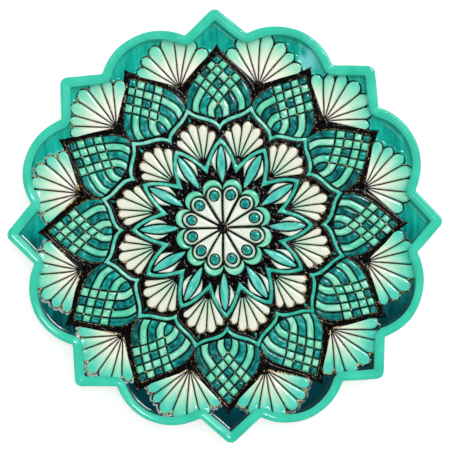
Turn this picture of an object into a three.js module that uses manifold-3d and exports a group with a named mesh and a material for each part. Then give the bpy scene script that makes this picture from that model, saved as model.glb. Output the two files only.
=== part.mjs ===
// Hand painted ceramic plate, in millimetres, +Z up.
// The origin is the middle of the foot, on the surface that the plate stands on.
// The outline has eight pointed cusps with a round lobe between each pair, and four of
// the cusps lie on the X and Y axes. The painted mandala has twelve equal sectors.
// A motif is drawn in its sector's own frame, x across it and y out from the centre,
// and is then turned into place.
import * as THREE from 'three';
import Module from 'manifold-3d';
import { ParametricGeometry } from 'three/addons/geometries/ParametricGeometry.js';
import { mergeVertices } from 'three/addons/utils/BufferGeometryUtils.js';

const radians = THREE.MathUtils.degToRad;

// The plate's outline.
const CUSPS = 8;
const CUSP_APEX = 101.15; // where the straight flanks of a cusp would meet
const CUSP_HALF_ANGLE = radians(47.4);
const CUSP_ROUND = 3.5;
const CUSP_ROUND_LEAST = 0.4;
const LOBE_CENTRE = 68.9;
const LOBE_ROUND = 27.44;
const NOTCH_ROUND = 1.2;
const LOBE_STEPS = 4;

// Heights of the layers, from the table up.
const FOOT_TOP = 4.5;
const CLAY_FLOOR = 9;
const GLAZE_TOP = 9.5;
const GROUND_TOP = 10;
const RELIEF_TOP = 10.5;
const BOSS_TOP = 11;
const OUTER_SHOULDER = 14.5;
const WELL_SHOULDER = 15;
const CLAY_RIM = 16;
const RIM_TOP = 17;

// How far in from the outline the glazed floor and the outer fans stop.
const FLOOR_INSET = 4.65;
const FAN_INSET = 5;

// The foot: a trapezium section turned about the axis.
const FOOT_FACE = [58, 62.5];
const FOOT_SEAT = [56, 65];
const FOOT_STEPS = 64;

// The mandala.
const SECTORS = 12;
const HALF_SECTOR = Math.PI / SECTORS;
const GROUND_RADIUS = 67;
const GROUND_STEPS = 48;
const CLEARANCE = 0.35; // between an outer fan and the black ground beside it
const CURVE_STEPS = 2;
const ARC_STEPS = 3;

const OUTER_FAN = {
  root: 68.2,
  bounds: [9.3, 28.2, 42.5, 57.5].map(radians),
  lengths: [22.7, 21.6, 20.9, 20.2],
};
const INNER_FAN = {
  root: 31.5,
  bounds: [9.3, 26, 41.4].map(radians),
  lengths: [18.7, 17.4, 15.5],
};
const ROSETTE = { capCentre: 18.3, capRadius: 4.5, capTurn: radians(80) };
const BOSS_RADIUS = 2;
const BOSS_STEPS = 16;

const COLOURS = {
  clay: '#d9c8ae',
  turquoise: '#3fcfae',
  teal: '#189c90',
  black: '#14100e',
  mint: '#86dcb8',
  deepTeal: '#0f7f7b',
  cream: '#ecefdc',
};

const wasm = await Module();
wasm.setup();

// ---------------------------------------------------------------- small helpers

const polar = (radius, angle) => [radius * Math.cos(angle), radius * Math.sin(angle)];

// A point at this radius on the line between two sectors.
const onSectorEdge = (radius) => [radius * Math.sin(HALF_SECTOR), radius * Math.cos(HALF_SECTOR)];

const mirrored = (points) => points.map(([x, y]) => [-x, y]).reverse();

const turned = (points, angle) =>
  points.map(([x, y]) => [
    x * Math.cos(angle) - y * Math.sin(angle),
    x * Math.sin(angle) + y * Math.cos(angle),
  ]);

function finish(colour, roughness) {
  return new THREE.MeshStandardMaterial({ color: colour, roughness, metalness: 0 });
}

// Drops all but the positions, and joins the vertices that coincide.
function closed(geometry) {
  geometry.deleteAttribute('normal');
  geometry.deleteAttribute('uv');
  return mergeVertices(geometry, 1e-4);
}

function toSolid(geometry) {
  const merged = closed(geometry);
  return new wasm.Manifold(
    new wasm.Mesh({
      numProp: 3,
      vertProperties: merged.attributes.position.array,
      triVerts: Uint32Array.from(merged.index.array),
    }),
  );
}

function fromSolid(solid) {
  const { vertProperties, triVerts } = solid.getMesh();
  const geometry = new THREE.BufferGeometry();
  geometry.setAttribute('position', new THREE.BufferAttribute(vertProperties, 3));
  geometry.setIndex(new THREE.BufferAttribute(triVerts, 1));
  geometry.computeVertexNormals();
  return geometry;
}

// A flat layer of this outline, from one height to another.
function layer(shape, from, to, curveSegments = CURVE_STEPS) {
  const settings = { depth: to - from, bevelEnabled: false, curveSegments };
  return new THREE.ExtrudeGeometry(shape, settings).translate(0, 0, from);
}

const node = (name, geometry, material) => {
  const mesh = new THREE.Mesh(geometry, material);
  mesh.name = name;
  return mesh;
};

// The runs are smooth curves that meet in corners, and the last one ends at the start.
function drawRuns(path, runs) {
  const start = runs[0][0];
  path.moveTo(...start);
  runs.forEach((run, i) => {
    const points = run.slice(1).map(([x, y]) => new THREE.Vector2(x, y));
    if (i === runs.length - 1) points[points.length - 1].set(...start);
    path.splineThru(points);
  });
  return path;
}

// A motif's outline from its right half, drawn from the outer tip to the inner end.
function motifShape(rightRuns) {
  const leftRuns = [...rightRuns].reverse().map(mirrored);
  return drawRuns(new THREE.Shape(), [...rightRuns, ...leftRuns]);
}

// A closed line round the whole mandala, from its stretch across half a sector. It runs
// anticlockwise, and starts on the first sector's axis.
function roundAll(path, halfRun) {
  const fromAxis = halfRun.map(([x, y]) => [-x, y]);
  const toAxis = [...halfRun].reverse();
  const runs = [];
  for (let k = 0; k < SECTORS; k += 1) {
    const turn = 2 * HALF_SECTOR * k;
    runs.push(turned(fromAxis, turn), turned(toAxis, turn + 2 * HALF_SECTOR));
  }
  return drawRuns(path, runs);
}

// ---------------------------------------------------------------- the plate's outline

function arc([cx, cy], radius, from, to, steps) {
  const points = [];
  for (let i = 0; i <= steps; i += 1) {
    const angle = from + ((to - from) * i) / steps;
    points.push([cx + radius * Math.cos(angle), cy + radius * Math.sin(angle)]);
  }
  return points;
}

// The middle of the round that joins a cusp's flank to a lobe, for the cusp on +X.
function notchCentre() {
  const along = [-Math.cos(CUSP_HALF_ANGLE), Math.sin(CUSP_HALF_ANGLE)];
  const out = [Math.sin(CUSP_HALF_ANGLE), Math.cos(CUSP_HALF_ANGLE)];
  const start = [CUSP_APEX + out[0] * NOTCH_ROUND, out[1] * NOTCH_ROUND];
  const lobe = polar(LOBE_CENTRE, Math.PI / CUSPS);
  const away = [start[0] - lobe[0], start[1] - lobe[1]];
  const half = away[0] * along[0] + away[1] * along[1];
  const rest = away[0] ** 2 + away[1] ** 2 - (LOBE_ROUND + NOTCH_ROUND) ** 2;
  const reach = -half - Math.sqrt(half ** 2 - rest);
  return [start[0] + along[0] * reach, start[1] + along[1] * reach];
}

// From the tip of the cusp on +X to the middle of the next lobe, moved in by the inset.
function halfCusp(inset) {
  const round = Math.max(CUSP_ROUND - inset, CUSP_ROUND_LEAST);
  const tip = [CUSP_APEX - (inset + round) / Math.sin(CUSP_HALF_ANGLE), 0];
  const flank = Math.PI / 2 - CUSP_HALF_ANGLE;
  const notch = notchCentre();
  const lobe = polar(LOBE_CENTRE, Math.PI / CUSPS);
  const toLobe = Math.atan2(lobe[1] - notch[1], lobe[0] - notch[0]);
  return [
    ...arc(tip, round, 0, flank, 1),
    ...arc(notch, NOTCH_ROUND + inset, flank + Math.PI, toLobe, 1),
    ...arc(lobe, LOBE_ROUND - inset, toLobe - Math.PI, Math.PI / CUSPS, LOBE_STEPS),
  ];
}

function outline(inset) {
  const half = halfCusp(inset);
  const back = half.map(([x, y]) => [x, -y]).reverse();
  const points = [];
  for (let k = 0; k < CUSPS; k += 1) {
    const turn = (2 * Math.PI * k) / CUSPS;
    points.push(...turned(half, turn), ...turned(back.slice(1, -1), turn + (2 * Math.PI) / CUSPS));
  }
  return points;
}

function outlineShape(inset) {
  return new THREE.Shape(outline(inset).map(([x, y]) => new THREE.Vector2(x, y)));
}

// Sweeps a section round the outline. A station is an inset and a height, and a station
// with an inset of null is on the axis.
function swept(stations) {
  const rings = stations.map(([inset]) => (inset === null ? null : outline(inset)));
  const around = rings.find((ring) => ring !== null).length;
  const last = stations.length - 1;
  const place = (u, v, target) => {
    const station = Math.round(v * last);
    const ring = rings[station];
    const [x, y] = ring === null ? [0, 0] : ring[Math.round(u * around) % around];
    target.set(x, y, stations[station][1]);
  };
  return closed(new ParametricGeometry(place, around, last));
}

// ---------------------------------------------------------------- clay, foot and glazes

// The slab that the plate is built up from, cut to the outline and rounded off below.
function clayFloor() {
  const stations = [
    [null, FOOT_TOP],
    [8, FOOT_TOP],
    [4.1, 5.5],
    [2.1, 8],
    [2, CLAY_FLOOR],
    [null, CLAY_FLOOR],
  ];
  return node('clay_floor', swept(stations), finish(COLOURS.clay, 0.85));
}

// The strip of clay that stands on the slab's edge.
function clayWall() {
  const stations = [
    [2, CLAY_FLOOR],
    [0.9, OUTER_SHOULDER],
    [1.3, CLAY_RIM],
    [2.8, CLAY_RIM],
    [3.3, WELL_SHOULDER],
    [3.5, CLAY_FLOOR],
    [2, CLAY_FLOOR],
  ];
  return node('clay_wall', swept(stations), finish(COLOURS.clay, 0.85));
}

function footRing() {
  const section = [
    [FOOT_SEAT[0], FOOT_TOP],
    [FOOT_FACE[0], 0],
    [FOOT_FACE[1], 0],
    [FOOT_SEAT[1], FOOT_TOP],
    [FOOT_SEAT[0], FOOT_TOP],
  ].map(([x, y]) => new THREE.Vector2(x, y));
  const geometry = new THREE.LatheGeometry(section, FOOT_STEPS).rotateX(Math.PI / 2);
  return node('foot_ring', geometry, finish(COLOURS.clay, 0.9));
}

// The thick turquoise coat over the rim. It sits on the rim's flat top and hangs down
// both sides of the wall with a thin gap to the clay.
function rimGlaze() {
  const outside = [[3.2, 5.5], [1.2, 8], [0, OUTER_SHOULDER], [1.4, RIM_TOP]];
  const wellSide = [[2.9, RIM_TOP], [4.3, WELL_SHOULDER], [4.3, CLAY_FLOOR]];
  const wellBack = [[3.8, CLAY_FLOOR], [3.6, WELL_SHOULDER], [3.2, CLAY_RIM]];
  const outsideBack = [[1, CLAY_RIM], [0.6, OUTER_SHOULDER], [1.8, 8], [3.8, 5.5], [3.2, 5.5]];
  const stations = [...outside, ...wellSide, ...wellBack, ...outsideBack];
  return node('rim_glaze', swept(stations), finish(COLOURS.turquoise, 0.12));
}

function floorGlaze() {
  const geometry = layer(outlineShape(FLOOR_INSET), CLAY_FLOOR, GLAZE_TOP);
  return node('floor_glaze', geometry, finish(COLOURS.teal, 0.12));
}

// ---------------------------------------------------------------- the black ground

// The raised black border of a woven petal, made wider all round by the margin.
function petalBorderShape(margin) {
  const rightRuns = [
    [[0, 84.5 + 1.4 * margin], [5 + margin, 79.7], [10 + margin, 74.1], [14.6 + margin, 68.2]],
    [[14.6 + margin, 68.2], [17.2 + margin, 61], [15, 52]],
    [[15, 52], [7, 50], [0, 48]],
  ];
  return motifShape(rightRuns);
}

// The black ground's outline as one solid: a disc, and the border of each woven petal.
function groundSolid(margin, from, to) {
  const disc = new THREE.Shape().absarc(0, 0, GROUND_RADIUS + margin, 0, 2 * Math.PI, false);
  let solid = toSolid(layer(disc, from, to, GROUND_STEPS));
  for (let k = 0; k < SECTORS; k += 1) {
    const border = layer(petalBorderShape(margin), from, to).rotateZ(-2 * HALF_SECTOR * k);
    solid = solid.add(toSolid(border));
  }
  return solid;
}

function blackGround() {
  const geometry = fromSolid(groundSolid(0, GLAZE_TOP, GROUND_TOP));
  return node('black_ground', geometry, finish(COLOURS.black, 0.25));
}

// ---------------------------------------------------------------- bands and rosette

function band(name, outerRun, innerRun, colour) {
  const shape = roundAll(new THREE.Shape(), outerRun);
  shape.holes.push(roundAll(new THREE.Path(), innerRun));
  return node(name, layer(shape, GROUND_TOP, RELIEF_TOP, 1), finish(colour, 0.15));
}

function scallopBand() {
  const outerRun = [[0, 47.9], [2.2, 50.1], [6, 51.6], [11, 53], onSectorEdge(57.7)];
  const innerRun = [[0, 45.3], [1.6, 47.9], [5, 50], [10, 51.7], onSectorEdge(55.2)];
  return band('scallop_band', outerRun, innerRun, COLOURS.mint);
}

function starBand() {
  const outerRun = [[0, 41.8], [3.3, 38], [6, 32.6], onSectorEdge(29.7)];
  const innerRun = [[0, 39.6], [3, 36.2], [5.6, 30.5], onSectorEdge(26)];
  return band('star_band', outerRun, innerRun, COLOURS.turquoise);
}

function centreRosette() {
  const { capCentre, capRadius, capTurn } = ROSETTE;
  const shape = new THREE.Shape();
  for (let k = 0; k < SECTORS; k += 1) {
    const axis = HALF_SECTOR * (2 * k + 1);
    const [x, y] = polar(capCentre, axis);
    shape.absarc(x, y, capRadius, axis - capTurn, axis + capTurn, false);
  }
  const geometry = layer(shape, GROUND_TOP, RELIEF_TOP, ARC_STEPS);
  return node('centre_rosette', geometry, finish(COLOURS.cream, 0.2));
}

function centreBoss() {
  const shape = new THREE.Shape().absarc(0, 0, BOSS_RADIUS, 0, 2 * Math.PI, false);
  const geometry = layer(shape, RELIEF_TOP, BOSS_TOP, BOSS_STEPS);
  return node('centre_boss', geometry, finish(COLOURS.black, 0.25));
}

// ---------------------------------------------------------------- motifs of the sectors

function weavePetalShape() {
  return motifShape([
    [[0, 80.5], [5, 75.6], [10.9, 69], [15, 61.6], [14.5, 55.6]],
    [[14.5, 55.6], [10, 53.4], [4.5, 51.8], [0, 49]],
  ]);
}

function leafShape() {
  return motifShape([[[0, 38.2], [1.8, 32.5], [1.6, 26], [0, 20.6]]]);
}

// Round-ended lobes side by side from one root, made from the right half's bounds.
function fanShape({ root, bounds, lengths }) {
  const lobes = lengths.map((length, i) => [i === 0 ? -bounds[0] : bounds[i - 1], bounds[i], length]);
  const left = lobes.slice(1).map(([from, to, length]) => [-to, -from, length]);
  const shape = new THREE.Shape().moveTo(0, root);
  for (const [from, to, length] of [...[...lobes].reverse(), ...left]) {
    const half = (to - from) / 2;
    const middle = (to + from) / 2;
    const reach = length / (1 + Math.sin(half));
    const centre = [reach * Math.sin(middle), root + reach * Math.cos(middle)];
    shape.absarc(...centre, reach * Math.sin(half), -to, Math.PI - from, false);
  }
  shape.lineTo(0, root);
  return shape;
}

// An outer fan stops at the foot of the rim's wall and at the black ground beside it.
function outerFanGeometry(turn, well, ground) {
  const fan = layer(fanShape(OUTER_FAN), GLAZE_TOP, RELIEF_TOP, ARC_STEPS).rotateZ(turn);
  return fromSolid(toSolid(fan).intersect(well).subtract(ground));
}

// One copy of a motif in each sector, numbered clockwise from +Y.
function roundTheSectors(name, firstTurn, makeGeometry, material) {
  const meshes = [];
  for (let k = 0; k < SECTORS; k += 1) {
    const turn = firstTurn - 2 * HALF_SECTOR * k;
    const number = String(k + 1).padStart(2, '0');
    meshes.push(node(`${name}_${number}`, makeGeometry(turn), material));
  }
  return meshes;
}

function sectorMotifs() {
  const flat = (shape, steps) => (turn) => layer(shape, GROUND_TOP, RELIEF_TOP, steps).rotateZ(turn);
  const well = toSolid(layer(outlineShape(FAN_INSET), CLAY_FLOOR, RIM_TOP));
  const ground = groundSolid(CLEARANCE, CLAY_FLOOR, RIM_TOP);
  const weave = flat(weavePetalShape(), CURVE_STEPS);
  const outerFan = (turn) => outerFanGeometry(turn, well, ground);
  const innerFan = flat(fanShape(INNER_FAN), ARC_STEPS);
  const leaf = flat(leafShape(), CURVE_STEPS);
  const betweenSectors = -HALF_SECTOR;
  return [
    ...roundTheSectors('weave_petal', 0, weave, finish(COLOURS.deepTeal, 0.15)),
    ...roundTheSectors('outer_fan', betweenSectors, outerFan, finish(COLOURS.mint, 0.15)),
    ...roundTheSectors('inner_fan', betweenSectors, innerFan, finish(COLOURS.cream, 0.2)),
    ...roundTheSectors('leaf_petal', 0, leaf, finish(COLOURS.turquoise, 0.15)),
  ];
}

const plate = new THREE.Group();
plate.add(
  clayFloor(),
  clayWall(),
  footRing(),
  rimGlaze(),
  floorGlaze(),
  blackGround(),
  scallopBand(),
  starBand(),
  centreRosette(),
  centreBoss(),
  ...sectorMotifs(),
);

export default plate;
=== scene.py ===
"""The looks of the hand painted ceramic plate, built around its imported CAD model.

The mandala is drawn in drawing units, which are millimetres on the CAD plate. Each motif is
drawn in the frame of its own sector, x across it and y out from the centre, and then turned
into place. Every field of enamel is a closed pillow of its own, and every black line a ridge.
Lengths are in drawing units unless a name says otherwise, and angles are in radians.
"""
from math import atan2, cos, pi, radians, sin, sqrt, tan

import bmesh
import bpy
import numpy as np
from mathutils import Matrix, Vector
from mathutils.kdtree import KDTree


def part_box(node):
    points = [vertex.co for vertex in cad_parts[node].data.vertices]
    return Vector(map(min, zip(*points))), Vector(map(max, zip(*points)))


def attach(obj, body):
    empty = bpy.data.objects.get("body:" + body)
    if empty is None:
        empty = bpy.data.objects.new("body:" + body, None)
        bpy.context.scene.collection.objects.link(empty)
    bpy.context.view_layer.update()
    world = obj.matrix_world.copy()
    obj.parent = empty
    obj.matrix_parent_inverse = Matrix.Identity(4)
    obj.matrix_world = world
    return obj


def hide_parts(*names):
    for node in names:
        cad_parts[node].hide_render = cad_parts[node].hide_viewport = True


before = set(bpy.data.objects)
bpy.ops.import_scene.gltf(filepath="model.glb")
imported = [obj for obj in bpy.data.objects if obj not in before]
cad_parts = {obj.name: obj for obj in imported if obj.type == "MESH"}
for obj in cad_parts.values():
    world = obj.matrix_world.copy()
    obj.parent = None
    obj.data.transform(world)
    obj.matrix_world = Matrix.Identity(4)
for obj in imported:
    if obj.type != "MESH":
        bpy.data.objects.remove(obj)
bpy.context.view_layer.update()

# ---------------- sizes from the frame

CUSP_TIP = 99.895  # the rounded tip of a cusp, in drawing units
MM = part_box("rim_glaze")[1].x / CUSP_TIP  # metres in a drawing unit


def top_of(node):
    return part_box(node)[1].z / MM


RIM_TOP = top_of("rim_glaze")
FLOOR_TOP = top_of("floor_glaze")
CLAY_FLOOR = top_of("clay_floor")
FOOT_TOP = top_of("foot_ring")
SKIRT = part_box("rim_glaze")[0].z / MM

# The plate's outline: eight cusps, with a round lobe between each pair.
CUSPS = 8
CUSP_APEX = 101.15
CUSP_HALF_ANGLE = radians(47.4)
CUSP_ROUND = 3.5
CUSP_ROUND_LEAST = 0.4  # the round that a cusp keeps, however far it's inset
LOBE_CENTRE = 68.9
LOBE_ROUND = 27.44
NOTCH_ROUND = 1.2
RIM_FINENESS = 0.86  # the rim's width, as a share of its width at full inset
RIM_SWELL = 0.09  # and how much that share grows at a cusp, and shrinks at a lobe

# The mandala: twelve sectors.
SECTORS = 12
HALF_SECTOR = pi / SECTORS
SECTOR = 2 * HALF_SECTOR
LINE = 0.3  # half the black gap between two fields
WALL_INSET = 4.92  # where the wall stands on the floor
BURIED_INSET = 4.7  # where what runs into the wall ends, inside it
FILLET = 2.0  # how far the floor's turn up to the wall reaches
FILLET_RISE = 1.0  # and how high
DISH_START = 48  # the radius where the floor starts to dish up
DISH_REACH = 44
DISH_POWER = 2.5
DISH_RISE = 1.1

# Heights above the glazed floor.
GROUND = 0.5  # the black ground
FIELD = 1.05  # the fields that lie on the ground
FAN_FIELD = 0.75  # the outer fans' lobes, which lie on the floor
BURIED = 0.25  # how deep a field or a line sinks into what it lies on

BEAD_STEP = 1.3  # how often a black line's size changes
WORN_SPOT = 0.3  # the radius of a worn spot where two of them cross
COPY_TILT, COPY_SHIFT, COPY_SIZE = 0.7, 0.2, 0.006  # how copies vary, the tilt in degrees

random = np.random.default_rng(20)

# ---------------- drawing helpers


def spline(points, per=10):
    """A smooth curve through the points (Catmull-Rom)."""
    p = np.array(points, float)
    p = np.vstack([2 * p[0] - p[1], p, 2 * p[-1] - p[-2]])
    t = np.linspace(0, 1, per, endpoint=False)[:, None]
    runs = []
    for a, b, c, d in zip(p[:-3], p[1:-2], p[2:-1], p[3:]):
        runs.append(0.5 * (2 * b + (c - a) * t + (2 * a - 5 * b + 4 * c - d) * t**2
                           + (3 * b - a - 3 * c + d) * t**3))
    return np.vstack(runs + [p[-2:-1]])


def norm(vectors):
    return np.linalg.norm(vectors, axis=-1)


def unit(vectors):
    return vectors / (norm(vectors)[..., None] + 1e-9)


def heading(points):
    return np.arctan2(points[..., 1], points[..., 0])


def outward(ring, by):
    """Moves a ring's points out from the middle, each by its own distance or all by one."""
    return ring * (1 + by / norm(ring))[:, None]


def lengths(path):
    """How far along a path each of its points is."""
    return np.concatenate([[0], np.cumsum(norm(np.diff(path, axis=0)))])


def resample(path, count, start=0.0, end=1.0):
    """Evenly spaced points between two shares of the path's length."""
    along = lengths(path)
    at = np.linspace(start, end, count) * along[-1]
    return np.stack([np.interp(at, along, path[:, i]) for i in (0, 1)], axis=1)


MIRROR = np.array([-1, 1])  # what a path is multiplied by, for its other side
BOTH_SIDES = (1, MIRROR)


def turn(points, angle):
    c, s = cos(angle), sin(angle)
    return points @ np.array([[c, s], [-s, c]])


def ray(root, angle, *reach):
    """Points of a straight line out from a root on the motif's axis, at each reach along it."""
    return np.array([[at * sin(angle), root + at * cos(angle)] for at in reach])


def both_sides(path):
    """A path that starts on the axis, led on from its mirror image."""
    return np.vstack([(path * MIRROR)[::-1], path[1:]])


def waves(count, shortest, longest):
    """Seeded smooth noise over the plane, about -1 to 1."""
    angle = random.uniform(0, 2 * pi, count)
    k = 2 * pi / random.uniform(shortest, longest, count)
    phase = random.uniform(0, 2 * pi, count)
    kx, ky = k * np.cos(angle), k * np.sin(angle)

    def value(points):
        x, y = points[..., 0, None], points[..., 1, None]
        return np.sin(x * kx + y * ky + phase).sum(-1) / sqrt(count)

    return value


drift_x, drift_y = waves(6, 16, 70), waves(6, 16, 70)
HAND = 0.26  # how far the painter's hand drifts
OFF_CENTRE = np.array([-0.5, -0.45])  # the mandala isn't quite in the middle of the plate
DRAWN_SIZE = 0.9955  # the mandala came out this much smaller


def by_hand(points):
    """Moves points of the drawing as a steady but human hand would."""
    drift = HAND * np.stack([drift_x(points), drift_y(points)], axis=-1)
    return DRAWN_SIZE * (points + drift) + OFF_CENTRE


class Placed:
    """Puts a motif's own frame into the plate, a number of sectors round and each copy a little
    different. The centre is how far out the middle of the motif is."""

    def __init__(self, sectors, centre, spread=1.0):
        self.angle = -SECTOR * sectors
        self.centre = np.array([0.0, centre])
        self.tilt = radians(random.normal(0, COPY_TILT)) * spread
        self.shift = random.normal(0, COPY_SHIFT, 2) * spread
        self.size = 1 + random.normal(0, COPY_SIZE) * spread

    def __call__(self, points):
        local = turn((np.asarray(points, float) - self.centre) * self.size, self.tilt)
        return by_hand(turn(local + self.centre + self.shift, self.angle))


# ---------------- the outline


def arc(centre, radius, start, end, steps):
    a = np.linspace(start, end, steps + 1)
    return np.stack([centre[0] + radius * np.cos(a), centre[1] + radius * np.sin(a)], axis=1)


def notch_centre():
    """The middle of the round between a cusp's flank and a lobe, for the cusp on +X."""
    s, c = sin(CUSP_HALF_ANGLE), cos(CUSP_HALF_ANGLE)
    start = np.array([CUSP_APEX + s * NOTCH_ROUND, c * NOTCH_ROUND])
    along = np.array([-c, s])
    lobe = LOBE_CENTRE * np.array([cos(pi / CUSPS), sin(pi / CUSPS)])
    away = start - lobe
    half = away @ along
    reach = -half - sqrt(half**2 - away @ away + (LOBE_ROUND + NOTCH_ROUND) ** 2)
    return start + along * reach, lobe


def even_outline(inset, tip_steps=6, notch_steps=6, lobe_steps=26, flank_steps=5):
    """The plate's outline moved in by the inset. The count of points never changes."""
    notch, lobe = notch_centre()
    radius = max(CUSP_ROUND - inset, CUSP_ROUND_LEAST)
    tip = [CUSP_APEX - (inset + radius) / sin(CUSP_HALF_ANGLE), 0]
    flank = pi / 2 - CUSP_HALF_ANGLE
    to_lobe = atan2(*(lobe - notch)[::-1])
    at_tip = arc(tip, radius, 0, flank, tip_steps)
    at_notch = arc(notch, NOTCH_ROUND + inset, flank + pi, to_lobe, notch_steps)
    straight = np.linspace(at_tip[-1], at_notch[0], flank_steps + 1, endpoint=False)[1:]
    at_lobe = arc(lobe, LOBE_ROUND - inset, to_lobe - pi, pi / CUSPS, lobe_steps)[1:]
    half = np.vstack([at_tip, straight, at_notch, at_lobe])
    back = (half * [1, -1])[::-1][1:-1]
    step = 2 * pi / CUSPS
    return np.vstack([part for k in range(CUSPS)
                      for part in (turn(half, step * k), turn(back, step * (k + 1)))])


def bent(points):
    """Moves points of the rim as the wet clay was bent out of true, by up to 2 mm."""
    x, y = points[:, 0] / CUSP_TIP, points[:, 1] / CUSP_TIP
    right = -0.4 * y + 1.85 * x * y - 1.1 * y**2
    up = 0.36 * x + 1.4 * x * y - 1.2 * x**2
    return points + np.stack([right, up], axis=-1)


def outline(inset):
    """The outline moved in by the inset, and by less at the lobes, where the rim is finer."""
    edge = even_outline(0)
    share = RIM_FINENESS + RIM_SWELL * np.cos(CUSPS * heading(edge))
    return bent(edge + share[:, None] * (even_outline(inset) - edge))


def radius_toward(ring):
    """A function that gives how far out a closed ring lies in the direction of each point."""
    order = np.argsort(heading(ring))
    a, r = heading(ring)[order], norm(ring)[order]
    a = np.concatenate([a - 2 * pi, a, a + 2 * pi])
    r = np.tile(r, 3)
    return lambda points: np.interp(heading(points), a, r)


well_radius = radius_toward(outline(BURIED_INSET))
wall_radius = radius_toward(outline(WALL_INSET))


def outside_well(points):
    return norm(points) > well_radius(points)


def wall_tree(count=5000):
    """Points along the foot of the wall, for finding the nearest one."""
    ring = outline(WALL_INSET)
    ring = resample(np.vstack([ring, ring[:1]]), count)
    tree = KDTree(len(ring))
    for i, (x, y) in enumerate(ring):
        tree.insert((x, y, 0), i)
    tree.balance()
    return tree


WALL_TREE = wall_tree()
NEAR_WALL = 7.0  # within this, the gap to the wall matters
FAR = 99.0


def wall_gap(points):
    """How far inside the wall each point of the floor is, or FAR where that doesn't matter."""
    flat = points.reshape(-1, 2)
    gap = np.full(len(flat), FAR)
    short = wall_radius(flat) - norm(flat)
    for i in np.nonzero(short < NEAR_WALL)[0]:
        gap[i] = WALL_TREE.find((flat[i, 0], flat[i, 1], 0))[2] if short[i] > 0 else 0.0
    return gap.reshape(points.shape[:-1])


def floor_height(points):
    """The glazed floor dishes up a little, and turns up in a fillet at the wall."""
    dish = DISH_RISE * (np.clip(norm(points) - DISH_START, 0, None) / DISH_REACH) ** DISH_POWER
    into = np.clip(1 - wall_gap(points) / FILLET, 0, 1)
    return FLOOR_TOP + dish + FILLET_RISE * (1 - np.sqrt(1 - into**2))


# ---------------- mesh building


def face_out(mesh):
    """Turns every face of the closed bodies in a mesh outward."""
    work = bmesh.new()
    work.from_mesh(mesh)
    bmesh.ops.recalc_face_normals(work, faces=work.faces)
    work.to_mesh(mesh)
    work.free()


def into_scene(name, data):
    thing = bpy.data.objects.new(name, data)
    bpy.context.scene.collection.objects.link(thing)
    return thing


class Bin:
    """Collects closed bodies into one mesh. The cell attribute holds across, along, and a
    number of the body's own, for the material."""

    def __init__(self):
        self.points, self.faces, self.cells = [], [], []
        self.count = 0

    def add(self, points, faces, cells):
        self.points.append(points.reshape(-1, 3))
        self.cells.append(cells.reshape(-1, 3))
        self.faces += [[i + self.count for i in face] for face in faces]
        self.count += len(self.points[-1])

    def make(self, name, material, slot, *nodes):
        mesh = bpy.data.meshes.new(name)
        points = np.vstack(self.points) * MM
        mesh.from_pydata(points.tolist(), [], self.faces)
        face_out(mesh)
        mesh.polygons.foreach_set("use_smooth", [True] * len(mesh.polygons))
        cell = mesh.attributes.new("cell", "FLOAT_VECTOR", "POINT")
        cell.data.foreach_set("vector", np.vstack(self.cells).astype(np.float32).ravel())
        mesh.materials.append(material)
        mesh.update()
        piece = into_scene(name, mesh)
        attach(piece, "root")
        if nodes:
            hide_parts(*nodes)


def grid_faces(rows, cols, loop=False, tube=False):
    """Faces of a grid, rows by cols. In a loop the last row is joined to the first, and in a
    tube the last column is."""
    faces = []
    for i in range(rows if loop else rows - 1):
        a, b = i * cols, ((i + 1) % rows) * cols
        for j in range(cols if tube else cols - 1):
            k = (j + 1) % cols
            faces.append([a + j, a + k, b + k, b + j])
    return faces


def closed_grid(body, xy, z, cells, base):
    """Adds a body whose top is a grid, with sides straight down to the base."""
    rows, cols = z.shape
    top = np.dstack([xy, z]).reshape(-1, 3)
    rim = (list(range(cols)) + [i * cols + cols - 1 for i in range(1, rows)]
           + [(rows - 1) * cols + j for j in range(cols - 2, -1, -1)]
           + [i * cols for i in range(rows - 2, 0, -1)])
    low = top[rim]
    low[:, 2] = base.reshape(-1)[rim]
    count, around = len(top), len(rim)
    sides = [[rim[k], rim[(k + 1) % around], count + (k + 1) % around, count + k]
             for k in range(around)]
    bottom = [[count + k for k in range(around)]]
    cells = cells.reshape(-1, 3)
    body.add(np.vstack([top, low]), grid_faces(rows, cols) + sides + bottom,
             np.vstack([cells, cells[rim]]))


def dome(distance, edge):
    """A quarter round over the edge's width, flat inside it."""
    t = np.clip(distance / edge, 0, 1)
    return np.sqrt(1 - (1 - t) ** 2)


def edged(grid):
    """A grid with its first and last columns doubled, for the sides that go straight down."""
    return np.concatenate([grid[:, :1], grid, grid[:, -1:]], axis=1)


def stacked(shape, *values):
    """Three values for each point of a grid, each given as something that fits its shape."""
    return np.dstack([np.broadcast_to(value, shape) for value in values])


def eased(count):
    """Numbers from 0 to 1, closer together near the ends."""
    return 0.5 - 0.5 * np.cos(np.pi * np.linspace(0, 1, count))


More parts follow.
